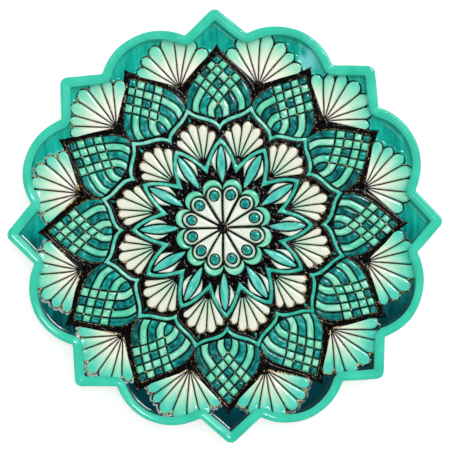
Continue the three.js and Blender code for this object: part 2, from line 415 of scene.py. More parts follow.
def pillow(body, left, right, place, height=FIELD, across=9, along=24, gap=LINE, edge=0.75,
           crown=0.22, capped=False, base=GROUND, clip=False, shade=None):
    """A field of enamel between two paths that run the same way. A capped field is rounded
    down at its ends too, and a clipped one stops at the plate's wall."""
    fine = 80
    a, b = resample(left, fine), resample(right, fine)
    width = norm(b - a)
    middle = lengths((a + b) / 2)
    wide = np.nonzero(width > 2 * gap + 0.25)[0]
    start, end = middle[wide[0]], middle[wide[-1]]
    if capped:
        start, end = max(start, gap), min(end, middle[-1] - gap)
    at = np.linspace(start, end, fine)
    a, b = (np.stack([np.interp(at, middle, p[:, i]) for i in (0, 1)], axis=1) for p in (a, b))
    width = norm(b - a)
    u = np.sin(0.5 * np.pi * np.linspace(-1, 1, across))
    margin = np.clip(gap / width, 0, 0.46)[:, None]
    share = (margin + (1 - 2 * margin) * (0.5 + 0.5 * u))[..., None]
    plan = place(a[:, None] * (1 - share) + b[:, None] * share)
    reach = np.ones(across)
    if clip:
        out = outside_well(plan)
        reach = np.where(out.any(axis=0), out.argmax(axis=0) / (fine - 1), 1.0)
    v = eased(along)[:, None]
    ran = v * reach
    row = ran * (fine - 1)
    low = np.clip(row.astype(int), 0, fine - 2)
    part = (row - low)[..., None]
    column = np.arange(across)
    xy = plan[low, column] * (1 - part) + plan[low + 1, column] * part
    half = np.interp(row, np.arange(fine), width / 2 - gap)
    rise = dome((1 - np.abs(u)) * half, edge)
    if capped:
        rise = rise * dome(ran * (end - start), edge) * dome((1 - ran) * (end - start), edge)
    bulge = crown * (1 - u**2) * np.sin(np.pi * np.clip(v, 0.02, 0.98)) ** 0.5
    floor = floor_height(xy) + base
    z = floor - BURIED / 2 + (height - base + BURIED / 2 + bulge) * rise
    shade = random.uniform() if shade is None else shade
    closed_grid(body, xy, z, stacked(z.shape, u, ran, shade), floor - BURIED)


def ridge(body, path, place, width=0.62, height=0.35, base=GROUND, step=0.7, sides=7,
          taper=0.35, clip=False, loop=False, beads=0.1, wear=None, gold_and_sheen=0.0):
    """A black line: a half round ridge along a path, tapered over its ends. Beads is how much
    its size varies. gold_and_sheen is how far it's worn, and at the points of wear it's worn
    through;
    on the glaze beads along the fans it sets a painted reflection instead."""
    line = place(resample(path, max(4, int(lengths(path)[-1] / step) + 1)))
    if clip:
        out = outside_well(line * 1.002)
        if out.any():
            line = line[: int(out.argmax())]
        if len(line) < 4:
            return
    if loop:
        line = line[:-1]
        ahead, behind = np.roll(line, -1, axis=0), np.roll(line, 1, axis=0)
    else:
        ahead = np.vstack([line[1:], 2 * line[-1] - line[-2]])
        behind = np.vstack([2 * line[0] - line[1], line[:-1]])
    count = len(line)
    ahead = unit(ahead - line)
    way = unit(unit(line - behind) + ahead)
    mitre = 1 / np.clip((way * ahead).sum(1), 0.6, 1)
    normal = np.stack([-way[:, 1], way[:, 0]], axis=1) * mitre[:, None]
    along = lengths(line)
    knots = np.arange(0, along[-1] + 2, BEAD_STEP)
    swell = 1 + beads * np.interp(along, knots, random.normal(0, 1, len(knots)))
    if not loop:
        for from_end in (along, along[-1] - along):
            swell = swell * np.clip(0.25 + 0.75 * from_end / taper, 0.25, 1)
    angle = np.linspace(0, pi, sides)
    across = np.cos(angle) * (width / 2 * swell)[:, None]
    up = np.sin(angle) ** 0.8 * (height * np.clip(swell, 0.3, 1.3))[:, None]
    xy = line[:, None] + normal[:, None] * across[..., None]
    xy = edged(xy)
    low = np.full((count, 1), -BURIED)
    z = floor_height(xy) + base + np.concatenate([low, up, low], axis=1)
    cols = sides + 2
    faces = grid_faces(count, cols, loop, tube=True)
    if not loop:
        faces += [list(range(cols)), list(range((count - 1) * cols, count * cols))]
    worn = np.full(count, gold_and_sheen)
    if wear is not None:
        spots = place(np.array(wear))
        near = norm(line[:, None] - spots).min(axis=1)
        worn = np.clip(1.2 - near / WORN_SPOT, gold_and_sheen, 1)
    crest = np.concatenate([[0], np.sin(angle), [0]])
    body.add(np.dstack([xy, z]), faces,
             stacked(z.shape, crest, worn[:, None], random.uniform()))


def ribbon(body, outer, inner, shade, height=FIELD, across=7, edge=0.7, crown=0.1):
    """A closed line of enamel that runs all round, between two closed paths."""
    u = np.sin(0.5 * np.pi * np.linspace(-1, 1, across))
    a, b = by_hand(outer), by_hand(inner)
    width = norm(b - a)
    share = (0.5 + 0.5 * u)[:, None]
    xy = a[:, None] * (1 - share) + b[:, None] * share
    rise = dome((1 - np.abs(u)) * (width / 2)[:, None], edge)
    floor = floor_height(xy) + GROUND - BURIED
    z = floor + (height - GROUND + BURIED + crown * (1 - u**2)) * rise
    low = floor[:, :1] - BURIED
    xy = edged(xy)
    z = np.concatenate([low, z, low], axis=1)
    along = np.linspace(0, SECTORS * 4, len(a))[:, None]
    body.add(np.dstack([xy, z]), grid_faces(*z.shape, loop=True, tube=True),
             stacked(z.shape, np.concatenate([[-1], u, [1]]), along, shade))


def add_rings(body, rings, cells=None):
    """Adds a body made of rings round the axis, each joined to the next. A ring of one point
    closes the body there, and otherwise the last ring is joined to the first."""
    starts = np.cumsum([0] + [len(ring) for ring in rings]).tolist()
    pairs = [(i, i + 1) for i in range(len(rings) - 1)]
    if len(rings[0]) > 1:
        pairs.append((len(rings) - 1, 0))
    faces = []
    for a, b in pairs:
        around = max(len(rings[a]), len(rings[b]))
        for j in range(around):
            k = (j + 1) % around
            face = [starts[a] + j, starts[a] + k] if len(rings[a]) > 1 else [starts[a]]
            face += [starts[b] + k, starts[b] + j] if len(rings[b]) > 1 else [starts[b]]
            faces.append(face)
    points = np.vstack(rings)
    body.add(points, faces, np.zeros((len(points), 3)) if cells is None else cells(points))


def raised(ring, z):
    """A ring of the plan, or None for the axis, at a height or at a height for each point."""
    ring = np.zeros((1, 2)) if ring is None else ring
    return np.column_stack([ring, np.broadcast_to(z, len(ring))])


def swept(body, stations, waver=0.0):
    """Sweeps a section round the plate's outline. A station is an inset and a height, and an
    inset of None is the axis. Waver is how far the surface wanders from true."""
    wander = waves(9, 14, 60)
    rings = []
    for inset, z in stations:
        ring = None if inset is None else outline(inset)
        rings.append(raised(ring if ring is None else outward(ring, waver * wander(ring)), z))
    add_rings(body, rings)


# ---------------- materials


def linear(code):
    """A colour written as six hex digits of sRGB, as linear light."""
    parts = [int(code[i:i + 2], 16) / 255 for i in (0, 2, 4)]
    return [p / 12.92 if p < 0.04045 else ((p + 0.055) / 1.055) ** 2.4 for p in parts] + [1.0]


def set_stops(node, stops):
    """Sets the colours of a ramp's node, each at its place from 0 to 1."""
    elements = node.color_ramp.elements
    while len(elements) < len(stops):
        elements.new(0.5)
    for element, (at, colour) in zip(elements, stops):
        element.position = at
        element.color = colour


class Shader:
    """A material's nodes, built up from sockets."""

    def __init__(self, name, roughness=0.1, gloss=0.5):
        self.material = bpy.data.materials.new(name)
        self.material.use_nodes = True
        self.tree = self.material.node_tree
        self.tree.nodes.clear()
        output, self.surface = self.add("OutputMaterial"), self.add("BsdfPrincipled")
        self.tree.links.new(self.surface.outputs[0], output.inputs[0])
        self.surface.inputs["Roughness"].default_value = roughness
        self.surface.inputs["Specular IOR Level"].default_value = gloss
        self.cell = self.add("Attribute", attribute_name="cell").outputs["Vector"]
        split = self.add("SeparateXYZ", {0: self.cell})
        self.across, self.along, self.own = split.outputs
        self.place = self.add("TexCoord").outputs["Object"]

    def add(self, kind, inputs=None, **settings):
        node = self.tree.nodes.new("ShaderNode" + kind)
        for key, value in settings.items():
            setattr(node, key, value)
        for key, value in (inputs or {}).items():
            self.put(node.inputs[key], value)
        return node

    def put(self, socket, value):
        if isinstance(value, bpy.types.NodeSocket):
            self.tree.links.new(value, socket)
        else:
            socket.default_value = value

    def math(self, kind, a, b=0.0, c=0.0, clamp=False):
        node = self.add("Math", {0: a, 1: b, 2: c}, operation=kind, use_clamp=clamp)
        return node.outputs[0]

    def times(self, a, b, plus=0.0, clamp=False):
        return self.math("MULTIPLY_ADD", a, b, plus, clamp)

    def noise(self, size, stretch=(1, 1, 1), detail=2.0, turned=0.0, shift=0.0):
        """Noise over the plate with spots of about this size, in millimetres."""
        scale = [1 / (MM * size * s) for s in stretch]
        mapping = self.add("Mapping", {"Vector": self.place, "Scale": scale,
                                                 "Rotation": (0, 0, turned),
                                                 "Location": (shift, shift, shift)})
        return self.noise_at(mapping.outputs[0], detail)

    def brushed(self, across, along, skew=0.0, detail=2.0):
        """Noise in a field's own directions, different in each field."""
        x = self.times(self.along, skew, self.times(self.across, across))
        y, z = self.times(self.along, along), self.times(self.own, 37.0)
        vector = self.add("CombineXYZ", {0: x, 1: y, 2: z}).outputs[0]
        return self.noise_at(vector, detail)

    def noise_at(self, vector, detail):
        node = self.add("TexNoise", {"Vector": vector, "Scale": 1.0, "Detail": detail})
        return node.outputs["Fac"]

    def ramp(self, factor, *stops):
        node = self.add("ValToRGB", {0: factor})
        set_stops(node, [(at, linear(code)) for at, code in stops])
        return node.outputs[0]

    def mix(self, factor, a, b):
        node = self.add("Mix", data_type="RGBA")
        self.put(node.inputs[0], factor)
        self.put(node.inputs[6], a)
        self.put(node.inputs[7], b)
        return node.outputs[2]

    def between(self, value, low, high):
        """0 at low and 1 at high, and clamped."""
        node = self.add("MapRange", {0: value, 1: low, 2: high, 3: 0.0, 4: 1.0})
        return node.outputs[0]

    def colour(self, value):
        self.put(self.surface.inputs["Base Color"], value)

    def rough(self, value, low, high):
        node = self.add("MapRange", {0: value, 1: 0.3, 2: 0.7, 3: low, 4: high})
        self.put(self.surface.inputs["Roughness"], node.outputs[0])

    def bump(self, height, depth, strength=1.0):
        """Depth is in millimetres."""
        node = self.add("Bump", {"Height": height, "Distance": depth * MM,
                                           "Strength": strength})
        self.put(self.surface.inputs["Normal"], node.outputs[0])


def melted(s, body, depth=0.05, size=3.5, low=0.06, high=0.14):
    """Gives a glaze its colour and the slow unevenness of a hand laid, melted coat."""
    s.colour(body)
    slow = s.noise(size, detail=1.0)
    fine = s.noise(size / 5, detail=1.0, shift=5.0)
    s.bump(s.times(fine, 0.15, slow), depth)
    s.rough(s.noise(size * 2, shift=9.0), low, high)
    return s.material


def mint_enamel():
    s = Shader("mint_enamel")
    # painted highlight: each field is lighter in its middle, along its crown
    middle = s.math("SUBTRACT", 1.0, s.times(s.across, s.across))
    tone = s.times(middle, 0.28, s.times(s.brushed(1.1, 2.6), 1.3, -0.6))
    tone = s.times(s.own, 0.3, tone, clamp=True)
    return melted(s, s.ramp(tone, (0.0, "33b494"), (0.35, "60cea9"), (0.65, "98dcc0"),
                            (1.0, "cdefe1")))


def deep_enamel():
    s = Shader("deep_teal_enamel", gloss=0.35)
    streak = s.brushed(0.7, 3.4, skew=1.4, detail=3.0)
    tone = s.times(s.own, 0.5, s.times(streak, 2.4, -1.03), clamp=True)
    return melted(s, s.ramp(tone, (0.0, "024243"), (0.35, "046b69"), (0.7, "0b948a"),
                            (1.0, "35b9aa")))


def turquoise_enamel():
    s = Shader("turquoise_enamel")
    tone = s.times(s.brushed(1.2, 3.0, skew=0.4, detail=3.0), 1.8, -0.4, clamp=True)
    return melted(s, s.ramp(tone, (0.0, "1f9e92"), (0.5, "4cc3b2"), (1.0, "98dcd2")))


def band_enamel():
    """The two bands, darker towards the lower right: painted shade."""
    s = Shader("band_enamel")
    split = s.add("SeparateXYZ", {0: s.place})
    # painted shade: lighter towards the upper left, darker towards the lower right
    painted_shade_lean = s.math("SUBTRACT", split.outputs["Y"], split.outputs["X"])
    own = s.times(painted_shade_lean, 0.3 / (70 * MM), s.own)
    tone = s.math("ADD", s.times(s.noise(3.0, detail=3.0), 2.0, -1.0), own, clamp=True)
    return melted(s, s.ramp(tone, (0.0, "21a28e"), (0.5, "45c2a7"), (1.0, "86d8c5")))


def cream_enamel():
    """The inner fans: cream at the tip, and greener towards the root."""
    s = Shader("cream_enamel")
    tone = s.times(s.brushed(1.0, 2.2), 0.4, s.math("SUBTRACT", s.along, 0.1), clamp=True)
    body = s.ramp(tone, (0.0, "86c8aa"), (0.25, "b9dac2"), (0.5, "d3dfc8"), (0.85, "e3e3d3"))
    edge = s.between(s.math("ABSOLUTE", s.across), 0.6, 1.0)
    return melted(s, s.mix(s.times(edge, 0.45), body, linear("9fd0b4")))


def fan_enamel():
    """The outer fans: cream at the root, through pale green, to turquoise at the tip."""
    s = Shader("fan_enamel")
    tone = s.times(s.brushed(0.8, 1.8), 0.55, s.math("SUBTRACT", s.along, 0.45))
    tone = s.times(s.own, 0.4, tone, clamp=True)
    return melted(s, s.ramp(tone, (0.0, "f6f1e6"), (0.35, "e6ecd6"), (0.62, "b0e0c4"),
                            (0.85, "72d6b8"), (1.0, "4fc9b4")))


def pale_enamel():
    """The rosette's petals and the leaves' slivers."""
    s = Shader("pale_enamel")
    body = s.ramp(s.brushed(0.9, 2.5), (0.25, "cfdfc8"), (0.5, "e4e8da"), (0.75, "f0efe7"))
    edge = s.between(s.math("ABSOLUTE", s.across), 0.7, 1.0)
    green = s.math("MAXIMUM", edge, s.between(s.along, 0.55, 0.75))
    return melted(s, s.mix(s.times(green, 0.6), body, linear("94cdb0")))


def black_enamel():
    """Black line enamel, with brown clay showing through where a crest is worn down."""
    s = Shader("black_enamel", 0.08, gloss=0.2)
    grain = s.noise(0.6, detail=1.0)
    patch = s.noise(3.6, detail=1.0, shift=3.0)
    seen = s.times(s.between(s.times(s.along, 0.1, grain), 0.54, 0.58),
                   s.between(patch, 0.4, 0.48))
    crest = s.times(s.between(s.across, 0.5, 0.8), s.between(s.along, 0.1, 0.6))
    rare = s.times(s.between(grain, 0.66, 0.7), s.between(s.across, 0.7, 0.9))
    worn = s.math("MAXIMUM", s.times(seen, crest), s.times(rare, s.between(patch, 0.52, 0.6)))
    tan = s.ramp(s.noise(0.9, shift=1.0), (0.3, "a88647"), (0.5, "dabd7c"), (0.7, "f5e9c4"))
    s.colour(s.mix(worn, linear("060405"), tan))
    bumps = s.times(s.noise(0.7, detail=1.0, shift=2.0), 0.35, s.noise(2.2, shift=4.0))
    out = s.add("VectorMath", {0: s.place}, operation="LENGTH").outputs["Value"]
    s.bump(bumps, 0.3, strength=s.times(s.between(out, 60 * MM, 42 * MM), 0.5, 0.5))
    s.rough(s.noise(1.5, shift=6.0), 0.05, 0.12)
    return s.material


def floor_glaze():
    """See-through teal, laid with a wide brush, and darker towards the bottom: painted shade, and
    partly the coat's own unevenness. It is painted lighter near the upper wall and has a patch of
    painted reflection at the upper right, and the beads along the fans' contours carry a milky
    painted reflection."""
    s = Shader("teal_glaze", 0.08, gloss=0.35)
    # painted reflection: a milky grey on the crest of the glaze beads along the fans' contours
    painted_halo = s.times(s.between(s.across, 0.45, 0.75), s.along)
    painted_halo = s.times(painted_halo, s.between(s.noise(2.4, shift=7.0), 0.3, 0.46))
    streak = s.noise(2.6, stretch=(1, 7, 1), detail=3.0, turned=0.12)
    broad = s.noise(13.0, stretch=(1, 1.8, 1), shift=2.0)
    split = s.add("SeparateXYZ", {0: s.place})
    # painted shade: the floor is darker towards the bottom
    painted_shade_lean = s.times(split.outputs["X"], 0.05, split.outputs["Y"])
    # painted light: the floor is lighter near the wall on the upper side, against the wall's shade
    painted_wall_light = s.times(s.across, s.between(painted_shade_lean, -20 * MM, 40 * MM))
    tone = s.times(streak, 1.1, s.times(broad, 0.7, -1.0))
    tone = s.times(s.between(painted_shade_lean, -54 * MM, 4 * MM), 0.74, tone)
    tone = s.times(painted_wall_light, 0.2, tone, clamp=True)
    body = s.ramp(tone, (0.0, "01333a"), (0.3, "035c5d"), (0.6, "0b9586"), (1.0, "22bda8"))
    # painted reflection: a pale patch on the floor at the upper right
    reflection_spot = (38 * MM, 78 * MM, FLOOR_TOP * MM)
    away = s.add("VectorMath", {0: s.place, 1: reflection_spot}, operation="DISTANCE")
    painted_reflection = s.times(s.between(away.outputs["Value"], 11 * MM, 6 * MM), s.between(broad, 0.45, 0.5))
    body = s.mix(s.times(painted_reflection, 0.7), body, linear("7ed8d6"))
    body = s.mix(painted_halo, body, linear("a3b0b6"))
    return melted(s, body, depth=0.1, size=5.0, low=0.03, high=0.07)


def rim_glaze():
    s = Shader("turquoise_glaze", gloss=0.35)
    tone = s.times(s.noise(9.0, detail=3.0), 1.4, -0.2, clamp=True)
    body = s.ramp(tone, (0.0, "26b497"), (0.5, "34c4a6"), (1.0, "49d2b8"))
    speck = s.between(s.noise(0.45, detail=1.0, shift=3.0), 0.74, 0.8)
    body = s.mix(s.times(speck, 0.35), body, linear("1d8f78"))
    return melted(s, body, size=6.0, low=0.08, high=0.15)


def bare_clay():
    s = Shader("bare_clay", 0.85)
    broad = s.noise(14.0, detail=4.0)
    grit = s.noise(0.4, detail=2.0, shift=3.0)
    body = s.ramp(broad, (0.3, "b99b78"), (0.5, "cbb08d"), (0.72, "d9c4a5"))
    s.colour(s.mix(s.times(s.between(grit, 0.6, 0.75), 0.5), body, linear("8d6f50")))
    s.bump(s.times(grit, 0.6, s.noise(3.0, shift=1.0)), 0.25)
    s.rough(s.noise(5.0), 0.72, 0.92)
    return s.material


MINT = mint_enamel()
DEEP = deep_enamel()
TURQUOISE = turquoise_enamel()
BAND = band_enamel()
CREAM = cream_enamel()
FAN = fan_enamel()
PALE = pale_enamel()
BLACK = black_enamel()
TEAL = floor_glaze()
RIM = rim_glaze()
CLAY = bare_clay()

# ---------------- the weave of a petal

# The lines of the weave that fall from the left border to the right, outermost first.
WEAVE_LINES = [spline(points) for points in (
    [(0, 81.3), (5, 76), (10.9, 69.2), (13.9, 64.7), (15.1, 60.5), (15.1, 57.5), (14.4, 55.5)],
    [(-2.4, 78.2), (1.2, 74.5), (3.5, 71.9), (5.9, 69.2), (9.5, 64.3), (12.1, 59.2), (12.5, 54.6)],
    [(-5.1, 75.4), (-1.8, 71.9), (2.9, 66.7), (6.6, 61.9), (8.8, 57.4), (8.8, 53.2)],
    [(-8, 72.3), (-4.7, 68.8), (0, 63.8), (4.2, 58.2), (5.2, 55), (5, 51.9)],
    [(-10.9, 69), (-6.4, 64.9), (-1.8, 59.8), (0, 57.5), (1.7, 54.2), (1.6, 50.9)],
)]
PETAL_BORDER = spline([(0, 86.4), (1.3, 83.9), (5.2, 79.7), (10, 74.4), (13.6, 70.2), (16.2, 66.8),
                       (17.6, 63), (17.9, 59), (17, 54)])
CROSSINGS = len(WEAVE_LINES)


def crossing_shares():
    """For each pair of lines, the shares of the first line's length where it crosses the
    mirror image of the second."""
    fine = 900
    lines = [resample(line, fine) for line in WEAVE_LINES]
    shares = np.zeros((CROSSINGS, CROSSINGS))
    for i, line in enumerate(lines):
        for j, other in enumerate(lines):
            gaps = norm(line[:, None] - other * MIRROR)
            shares[i, j] = np.unravel_index(gaps.argmin(), gaps.shape)[0] / (fine - 1)
    return shares


SHARES = crossing_shares()
CROSS_POINTS = [resample(WEAVE_LINES[i], 2, SHARES[i, j], SHARES[i, j])[0]
                for i in range(1, CROSSINGS) for j in range(1, CROSSINGS)]


def weave_petal(k):
    """The cells and strips of one petal in two enamels, and its black lines."""
    place = Placed(k, 66)
    mint, deep, black = Bin(), Bin(), Bin()
    for i in range(CROSSINGS - 1):
        first, second = WEAVE_LINES[i], WEAVE_LINES[i + 1]
        for j in range(CROSSINGS - 1):
            a = resample(first, 12, SHARES[i, j], SHARES[i, j + 1])
            b = resample(second, 12, SHARES[i + 1, j], SHARES[i + 1, j + 1])
            pillow(mint if i % 2 or j % 2 else deep, a, b, place, along=9, capped=True)
        a = resample(first, 30, SHARES[i, -1], 1)
        b = resample(second, 30, SHARES[i + 1, -1], 1)
        for side in BOTH_SIDES:
            pillow(mint if i % 2 else deep, a * side, b * side, place, along=22, capped=True)
    eye = resample(WEAVE_LINES[-1], 30, SHARES[-1, -1], 1)
    pillow(deep, eye, eye * MIRROR, place, along=16, capped=True)
    for line in WEAVE_LINES[1:]:
        for side in BOTH_SIDES:
            ridge(black, line * side, place, wear=CROSS_POINTS)
    foot_line = spline([line[-1] for line in WEAVE_LINES] + [(0, 49.6)])
    ridge(black, both_sides(foot_line[::-1])[::-1], place)
    inner, outer = resample(WEAVE_LINES[0], 60), resample(PETAL_BORDER, 60, 0, 0.88)
    flank = 0.42 * inner + 0.58 * outer
    ridge(black, both_sides(flank), place, width=1.8, height=0.26, step=0.9, taper=2,
          beads=0.03, gold_and_sheen=-1)
    for side in BOTH_SIDES:
        ridge(black, inner * side, place, width=0.6, height=0.4, gold_and_sheen=0.3)
    number = f"{k + 1:02d}"
    deep.make(f"weave_petal_{number}_deep", DEEP, "deep_teal_enamel", f"weave_petal_{number}")
    mint.make(f"weave_petal_{number}_mint", MINT, "mint_enamel")
    black.make(f"weave_petal_{number}_lines", BLACK, "black_ground")
    return place


# ---------------- fans


def lobe_edges(root, start, end, low, high, count=60):
    """The two sides of a round-ended lobe between two angles from the axis, from a share of
    its length near the root to its tip."""
    half, middle = (high - low) / 2, (high + low) / 2
    reach = end / (1 + sin(half))
    radius = reach * sin(half)
    s = start + (end - start) * np.sin(0.5 * np.pi * np.linspace(0, 1, count))
    width = np.where(s < reach * cos(half) ** 2, s * tan(half),
                     np.sqrt(np.clip(radius**2 - (s - reach) ** 2, 0, None)))
    way = np.array([sin(middle), cos(middle)])
    side = np.array([cos(middle), -sin(middle)])
    axis = np.array([0, root]) + s[:, None] * way
    return axis - width[:, None] * side, axis + width[:, None] * side


def lobe_tip(root, length, low, high, count=24):
    """The round end of a lobe, as a path from its high side to its low side."""
    half, middle = (high - low) / 2, (high + low) / 2
    reach = length / (1 + sin(half))
    centre = [reach * sin(middle), root + reach * cos(middle)]
    sweep, start = pi / 2 + half, pi / 2 - middle
    return arc(centre, reach * sin(half), start - sweep, start + sweep, count)


def fan_lobes(bounds, tips, jitter):
    """The lobes of a fan from its right half: (low angle, high angle, length)."""
    angles = np.radians(bounds)
    angles = np.concatenate([-angles[::-1], angles])
    angles = angles + np.radians(random.normal(0, jitter, len(angles)))
    sizes = np.concatenate([tips[:0:-1], tips]) * (1 + random.normal(0, 0.012, 2 * len(tips) - 1))
    return list(zip(angles[:-1], angles[1:], sizes))


def outer_fan(k):
    """Seven lobes, with a bead of glaze along their contour that carries a painted reflection at
    the lower left.
    """
    root, sectors = 68.0, k + 0.5
    place = Placed(sectors, 78)
    around = SECTOR * sectors  # clockwise from the top
    size = 1 + 0.02 * cos(around - pi / 4)
    tips = size * np.array([23.6, 23.0, 22.2, 21.4])
    lobes = fan_lobes([9.3, 27.6, 42.8, 61], tips, 0.7)
    colour, black, bead = Bin(), Bin(), Bin()
    on_floor = {"base": 0.0, "clip": True}
    # creamer to the upper left and greener to the lower right: partly the fans' own paint, partly
    # painted sheen
    fan_shade = 0.5 - 0.28 * cos(around + 0.35) + random.uniform(-0.12, 0.12)
    gilt = 0.5 - 0.45 * cos(around - 0.6)  # more gold towards the lower left
    pale = max(0.0, 1.3 * cos(around - 1.25 * pi) - 0.3)  # and there the bead is higher, with a painted reflection on it
    for low, high, length in lobes:
        pillow(colour, *lobe_edges(root, 1.2, length, low, high), place, FAN_FIELD, across=11,
               along=26, gap=0.21, base=0.0, clip=True, crown=0.14,
               shade=fan_shade + random.uniform(-0.15, 0.15))
        tip = lobe_tip(root, length, low, high)
        for path in (tip[:13], tip[:11:-1]):
            ridge(black, path, place, width=0.9, height=0.78, step=0.5, gold_and_sheen=gilt, **on_floor)
            ridge(bead, path, place, width=3.2, height=0.2 + 0.2 * pale, base=-0.05, clip=True,
                  step=0.6, sides=11, gold_and_sheen=pale)
    for (_, high, length), (_, _, beside) in zip(lobes[:-1], lobes[1:]):
        path = ray(root, high, 0.2, min(length, beside) * 0.93)
        ridge(black, path, place, width=0.54, height=0.72, gold_and_sheen=0.15, **on_floor)
    for angle, length in ((lobes[0][0], lobes[0][2]), (lobes[-1][1], lobes[-1][2])):
        path = ray(root, angle, 0.5, length * 0.72)
        ridge(black, path, place, width=1.1, height=0.66, gold_and_sheen=gilt, **on_floor)
    number = f"{k + 1:02d}"
    colour.make(f"outer_fan_{number}_enamel", FAN, "mint_enamel", f"outer_fan_{number}")
    black.make(f"outer_fan_{number}_lines", BLACK, "black_ground")
    bead.make(f"outer_fan_{number}_bead", TEAL, "teal_glaze")


def inner_fan(k):
    """Five lobes, and the drop between them and the arch's peak."""
    root = 31.3
    place = Placed(k + 0.5, 42, 0.8)
    cream, drop, black = Bin(), Bin(), Bin()
    for low, high, length in fan_lobes([9.1, 26, 42], [19, 17.6, 15.6], 0.6):
        pillow(cream, *lobe_edges(root, 2.2, length, low, high), place, gap=0.27, edge=0.6)
        ridge(black, lobe_tip(root, length + 0.15, low, high), place, width=0.66, height=0.34,
              step=0.5, gold_and_sheen=0.5)
    sides = (side * [1, -1] + [0, 54.3] for side in lobe_edges(0, 0.6, 3.3, -0.33, 0.33))
    pillow(drop, *sides, place, along=12, gap=0.05)
    number = f"{k + 1:02d}"
    cream.make(f"inner_fan_{number}_enamel", CREAM, "cream_enamel", f"inner_fan_{number}")
    drop.make(f"arch_drop_{number}", DEEP, "deep_teal_enamel")
    black.make(f"inner_fan_{number}_lines", BLACK, "black_ground")


def leaf(k):
    """A leaf, and a sliver on each side of it."""
    place = Placed(k, 29, 0.8)
    turquoise, cream = Bin(), Bin()
    edge = spline([(0.05, 20.7), (0.8, 22.2), (1.4, 24.2), (2, 28), (2, 31.5), (1.5, 35), (0.9, 37),
                   (0.05, 38.4)])
    pillow(turquoise, edge * MIRROR, edge, place, gap=0.1)
    inner = spline([(1.5, 36.6), (2.2, 33.5), (2.6, 30), (2.55, 27.5), (2.2, 25.6)])
    outer = spline([(1.7, 36.8), (3.3, 34.3), (4.7, 31.4), (4.1, 28.6), (2.4, 25.7)])
    for side in BOTH_SIDES:
        pillow(cream, inner * side, outer * side, place, across=7, along=18, gap=0.08)
    number = f"{k + 1:02d}"
    turquoise.make(f"leaf_petal_{number}_enamel", TURQUOISE, "turquoise_enamel",
                   f"leaf_petal_{number}")
    cream.make(f"leaf_slivers_{number}", PALE, "cream_enamel")


# ---------------- bands and rosette


def all_round(*half, per=14):
    """A closed path of the whole circle from its run across half a sector."""
    run = resample(spline(half), per)
    sector = np.vstack([run[:-1] * MIRROR, turn(run[:0:-1], SECTOR)])
    return np.vstack([turn(sector, SECTOR * k) for k in range(SECTORS)])


def bands():
    """The line of twelve arches, the line of twelve points, and a black line beside each."""
    def edge(radius):
        return ray(0, HALF_SECTOR, radius)[0]

    arches = all_round((0, 45.2), (1.7, 47.8), (5.4, 49.7), (10.3, 51.2), edge(55.1))
    points = all_round((0, 42), (1.9, 40.2), (3.4, 38.1), (5.1, 35.3), (7.1, 30), edge(29.8))
    scallop, star, lines = Bin(), Bin(), Bin()
    ribbon(scallop, all_round((0, 48.1), (2.2, 50.2), (6, 51.7), (11, 53.2), edge(57.9)), arches,
           shade=0.57)
    ribbon(star, points, shade=0.32, inner=all_round(
        (0, 39.5), (1.5, 38), (3, 35.7), (4.5, 32.5), (6.1, 27.4), edge(25.9)))
    for path, shift in ((arches, -0.9), (points, 0.8)):
        beside = outward(path, shift)
        ridge(lines, np.vstack([beside, beside[:1]]), by_hand, width=1.1, height=0.36, loop=True,
              gold_and_sheen=0.12)
    lines.make("band_lines", BLACK, "black_ground")
    scallop.make("scallop_band_enamel", BAND, "mint_enamel", "scallop_band")
    star.make("star_band_enamel", BAND, "turquoise_enamel", "star_band")


def rosette():
    """Twelve petals, each with a cap round its end and an eye, and the boss in the middle."""
    petals, caps, eyes, lines, hub = Bin(), Bin(), Bin(), Bin(), Bin()
    end, cap_end, eye = [0, 15.33], [0, 18.3], [0, 15.1]  # the middle of each round
    for k in range(SECTORS):
        place = Placed(k + 0.5, 15, 0.5)
        pillow(petals, *lobe_edges(0, 2.4, 19.3, -HALF_SECTOR, HALF_SECTOR), place, across=11,
               gap=0.5)
        pillow(caps, arc(end, 4.35, radians(164), radians(16), 49),
               arc(cap_end, 4.55, radians(196), radians(-16), 49), place, along=26, gap=0.03)
        ring = arc([0, 0], 1, pi / 2, -1.5 * pi, 39) * [2.25, 2.5] + eye
        ridge(lines, ring, place, width=0.76, height=0.32, base=FIELD + 0.02, step=0.4, loop=True)
        side = arc([0, 0], 1, -pi / 2, pi / 2, 29) * [2.0, 2.25]
        pillow(eyes, side * MIRROR + eye, side + eye, place, FIELD + 0.45, along=14, gap=0.0,
               edge=1.1, base=FIELD - 0.1, crown=0.15, shade=0.95)
        tip = arc(end, 3.97, radians(-8), radians(188), 40)
        ridge(lines, tip, place, height=0.5, step=0.5)
        spoke = Placed(k, 10, 0.3)
        ridge(lines, ray(0, 0, 1.5, 18.6), spoke, height=0.5)
    petals.make("rosette_petals", PALE, "cream_enamel", "centre_rosette")
    caps.make("rosette_caps", MINT, "mint_enamel")
    eyes.make("rosette_eyes", DEEP, "deep_teal_enamel")
    lines.make("rosette_lines", BLACK, "black_ground")
    side = arc([0, 0], 3.0, -pi / 2, pi / 2, 39)
    pillow(hub, side * MIRROR, side, by_hand, FIELD + 0.3, across=15, along=17, gap=0.0, edge=1.8)
    hub.make("centre_boss_enamel", BLACK, "black_ground", "centre_boss")


# ---------------- the black ground


def open_radius(line, angles):
    """How far out an open line lies in each direction, and 0 where it doesn't reach."""
    at = np.unwrap(heading(line))
    middle = at.mean()
    wanted = (angles - middle + pi) % (2 * pi) - pi + middle
    order = np.argsort(at)
    return np.interp(wanted, at[order], norm(line)[order], left=0, right=0)


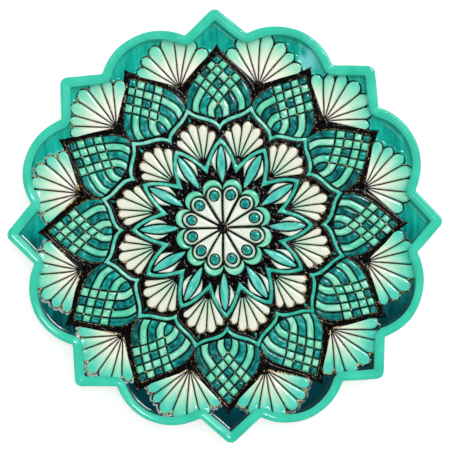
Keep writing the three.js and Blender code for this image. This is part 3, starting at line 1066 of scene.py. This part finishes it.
def ground_edge(places, angles):
    """How far out the black ground goes: to the petals' borders, and to a web between each two."""
    radius = np.zeros(len(angles))
    border = resample(both_sides(PETAL_BORDER), 400)
    for place in places:
        radius = np.maximum(radius, open_radius(place(border), angles))
    web_radius, web_half, web_curve = 69.2, 2.5, 0.55
    for k in range(SECTORS):
        off = (angles - pi / 2 + SECTOR * (k + 0.5) + pi) % (2 * pi) - pi
        off = off * 67  # about how far the web is from the middle
        radius = np.where(abs(off) < web_half,
                          np.maximum(radius, web_radius - web_curve * off**2), radius)
    return radius


def black_ground(places):
    """One raised sheet of black, out to the petals' borders and rounded off there."""
    angles = np.linspace(0, 2 * pi, 1080, endpoint=False)
    radius = ground_edge(places, angles)
    slope = (np.roll(radius, -1) - np.roll(radius, 1)) / (2 * (angles[1] - angles[0]))
    stretch = np.clip(np.sqrt(1 + (slope / radius) ** 2), 1, 2.2)
    bumps, fine_bumps = waves(24, 3, 9), waves(24, 2.2, 4)
    edge = 0.75 * stretch
    last = radius - edge
    shares = np.linspace(0.03, 0.985, 72)
    r = [last * share / shares[-1] for share in shares]
    h = [np.full(len(angles), GROUND) for _ in shares]
    for t in np.linspace(0, pi / 2, 7)[1:]:
        r.append(last + edge * sin(t))
        h.append(np.full(len(angles), GROUND * cos(t) - 0.02))
    r, h = np.array(r), np.array(h)
    xy = np.dstack([r * np.cos(angles), r * np.sin(angles)])
    calm = np.clip((h - 0.2) / 0.3, 0, 1)
    z = floor_height(xy) + h + calm * (0.05 * bumps(xy) + 0.04 * fine_bumps(xy))
    rings = [raised(ring, height) for ring, height in zip(xy, z)]
    bottom = FLOOR_TOP - 0.2
    body = Bin()
    add_rings(body, rings + [raised(xy[-1], bottom), raised(xy[0], bottom)])
    body.make("black_ground_enamel", BLACK, "black_ground", "black_ground")


# ---------------- clay, rim and floor


def rim_coat():
    """The rim's coat: up the outside, over a rolled edge, across a crest that falls slowly to
    the inside, down the wall, and back up inside itself."""
    edge = RIM_TOP - 1.1
    stations = [(3.2, SKIRT), (2.4, SKIRT + 0.3), (1.7, SKIRT + 1.1), (1.2, SKIRT + 2.6),
                (0.6, CLAY_FLOOR + 2), (0.12, edge - 1.5), (0, edge)]
    for t in np.linspace(0.1, 1.5, 7):
        stations.append((0.45 * (1 - cos(t)), edge + 0.85 * sin(t)))
    crest, inner = 1.2, 4.4
    for inset in np.linspace(0.5, inner, 15):
        bend = 0.25 / 0.7**2 if inset < crest else 0.095
        stations.append((inset, RIM_TOP - bend * (inset - crest) ** 2))
    top = stations[-1][1]
    for t in np.linspace(0.5, 1.5, 5):
        stations.append((inner + 0.45 * sin(t), top - 0.5 * (1 - cos(t))))
    stations += [(4.88, FLOOR_TOP + 2), (4.9, FLOOR_TOP), (4.9, CLAY_FLOOR), (4.4, CLAY_FLOOR),
                 (4.2, RIM_TOP - 2), (3.8, RIM_TOP - 1), (1, RIM_TOP - 1), (0.6, RIM_TOP - 2.5),
                 (1.8, 8), (3.8, SKIRT)]
    body = Bin()
    swept(body, stations, waver=0.13)
    body.make("rim_coat", RIM, "turquoise_glaze", "rim_glaze")


def floor_coat():
    """The floor's coat, which ends inside the wall. Across holds how near the wall is."""
    near = 4
    inner = outline(WALL_INSET + FILLET + 0.6)
    plan = [share * inner for share in np.concatenate([[0.02], np.linspace(0.1, 1, 34)])]
    plan += [outline(WALL_INSET + gap) for gap in FILLET * (1 - np.sin(np.linspace(0, 1.56, 15)))]
    plan.append(outline(BURIED_INSET))
    rings = [raised(ring, floor_height(ring)) for ring in plan]

    def cells(points):
        across = np.clip(1 - wall_gap(points[:, :2]) / near, 0, 1)
        return np.column_stack([across, np.zeros((len(points), 2))])

    body = Bin()
    add_rings(body, [raised(None, FLOOR_TOP)] + rings
              + [raised(plan[-1], CLAY_FLOOR), raised(None, CLAY_FLOOR)], cells)
    body.make("floor_coat", TEAL, "teal_glaze", "floor_glaze")


def clay_pieces():
    """The slab, rounded up to its edge underneath, and the wall that stands on the edge."""
    slab, wall = Bin(), Bin()
    swept(slab, [(None, FOOT_TOP), (11, FOOT_TOP), (6.5, FOOT_TOP + 0.1), (4.9, FOOT_TOP + 0.45),
                 (4, FOOT_TOP + 1.1), (3, 6.4), (2.3, 7.6), (2, CLAY_FLOOR), (None, CLAY_FLOOR)])
    slab.make("slab_clay", CLAY, "clay", "clay_floor")
    swept(wall, [(2, CLAY_FLOOR), (0.9, RIM_TOP - 2.5), (1.3, RIM_TOP - 1), (3.4, RIM_TOP - 1),
                 (3.9, RIM_TOP - 2), (4.1, CLAY_FLOOR)])
    wall.make("wall_clay", CLAY, "clay", "clay_wall")


def foot():
    """The foot ring, with rounded edges and the fine rings that the turning tool leaves."""
    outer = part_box("foot_ring")[1].x / MM
    inner = outer - 9
    section = spline([(inner, FOOT_TOP + 0.2), (inner + 1, 2.4), (inner + 2.2, 0.5),
                      (inner + 3.4, 0), (outer - 3.4, 0), (outer - 2.2, 0.5), (outer - 1, 2.6),
                      (outer, FOOT_TOP + 0.2)], 5)
    r, z = np.clip(section, 0, None).T
    r = r + 0.05 * np.sin(z * 9 + r * 7) * (z > 0.05)
    circle = arc([0, 0], 1, 0, 2 * pi, 240)[:-1]
    body = Bin()
    add_rings(body, [raised(radius * circle, height) for radius, height in zip(r, z)])
    body.make("foot_clay", CLAY, "clay", "foot_ring")


# ---------------- stage, lights and camera


ROLL = radians(2.0)  # the plate lies turned by this, seen from above
VIEW = np.array([-tan(radians(4.0)), -tan(radians(5.5)), 1.0])


def stage():
    size = 3.0
    mesh = bpy.data.meshes.new("studio_floor")
    mesh.from_pydata([(-size, -size, 0), (size, -size, 0), (size, size, 0), (-size, size, 0)], [],
                     [[0, 1, 2, 3]])
    floor = into_scene("studio_floor", mesh)
    s = Shader("studio_floor", 0.9, gloss=0.0)
    s.colour(linear("c8c8c8"))
    s.surface.inputs["Emission Color"].default_value = (1, 1, 1, 1)
    s.surface.inputs["Emission Strength"].default_value = 0.6
    mesh.materials.append(s.material)


def area_light(name, at, size, radiance, colour=(1, 1, 1), gleam=True):
    """A panel that either only shows as a gleam on gloss, or only lights."""
    data = bpy.data.lights.new(name, "AREA")
    data.shape = "RECTANGLE"
    data.size, data.size_y = size
    data.color = colour
    data.energy = radiance * pi * size[0] * size[1]
    lamp = into_scene(name, data)
    lamp.location = at
    lamp.rotation_euler = (-Vector(at)).to_track_quat("-Z", "Y").to_euler()
    lamp.visible_diffuse = not gleam
    lamp.visible_glossy = gleam


def lights():
    """Panels, and a grey room that is dark where a flat gloss would show the camera's side."""
    area_light("overhead", (0.15, 0.2, 1.5), (1.4, 1.4), 3.6, gleam=False)
    area_light("key_softbox", (0.68, 0.6, 0.85), (0.62, 0.5), 3.4)
    area_light("spark", (0.31, 0.36, 1.0), (0.17, 0.17), 44)
    area_light("window", (-0.27, -0.24, 0.9), (0.24, 0.24), 4, (0.84, 0.85, 1.0))
    world = bpy.data.worlds.new("studio")
    bpy.context.scene.world = world
    world.use_nodes = True
    tree = world.node_tree
    back = tree.nodes["Background"]
    coords = tree.nodes.new("ShaderNodeTexCoord")
    toward = tree.nodes.new("ShaderNodeVectorMath")
    toward.operation = "DOT_PRODUCT"
    toward.inputs[1].default_value = Vector((-VIEW[0], -VIEW[1], VIEW[2])).normalized()
    ramp = tree.nodes.new("ShaderNodeValToRGB")
    tree.links.new(coords.outputs["Generated"], toward.inputs[0])
    tree.links.new(toward.outputs["Value"], ramp.inputs[0])
    tree.links.new(ramp.outputs[0], back.inputs[0])
    back.inputs[1].default_value = 1.0
    greys = [(0.0, 0.25), (0.25, 0.35), (0.6, 0.45), (0.93, 0.45), (0.965, 0.05), (1.0, 0.02)]
    set_stops(ramp, [(at, (grey, grey, grey, 1)) for at, grey in greys])


def camera():
    """Nearly overhead, from a little below and left of the middle, rolled by two degrees."""
    data = bpy.data.cameras.new("camera")
    data.sensor_width = 36
    distance = 2.2
    centre = np.array([0.00004, 0.00026, 0.015])
    way = unit(VIEW)
    view_width = 206.235 * MM
    data.lens = data.sensor_width * distance / view_width
    cam = into_scene("camera", data)
    up = np.array([sin(ROLL), cos(ROLL), 0.0])
    across = unit(np.cross(up, way))
    turned = Matrix((across, np.cross(way, across), way)).transposed()
    cam.matrix_world = Matrix.Translation(centre + way * distance) @ turned.to_4x4()
    data.clip_end = 20
    bpy.context.scene.camera = cam


petal_places = [weave_petal(k) for k in range(SECTORS)]
for number_round in range(SECTORS):
    outer_fan(number_round)
    inner_fan(number_round)
    leaf(number_round)
bands()
rosette()
black_ground(petal_places)
rim_coat()
floor_coat()
clay_pieces()
foot()
stage()
lights()
camera()
bpy.context.scene.view_settings.view_transform = "Standard"
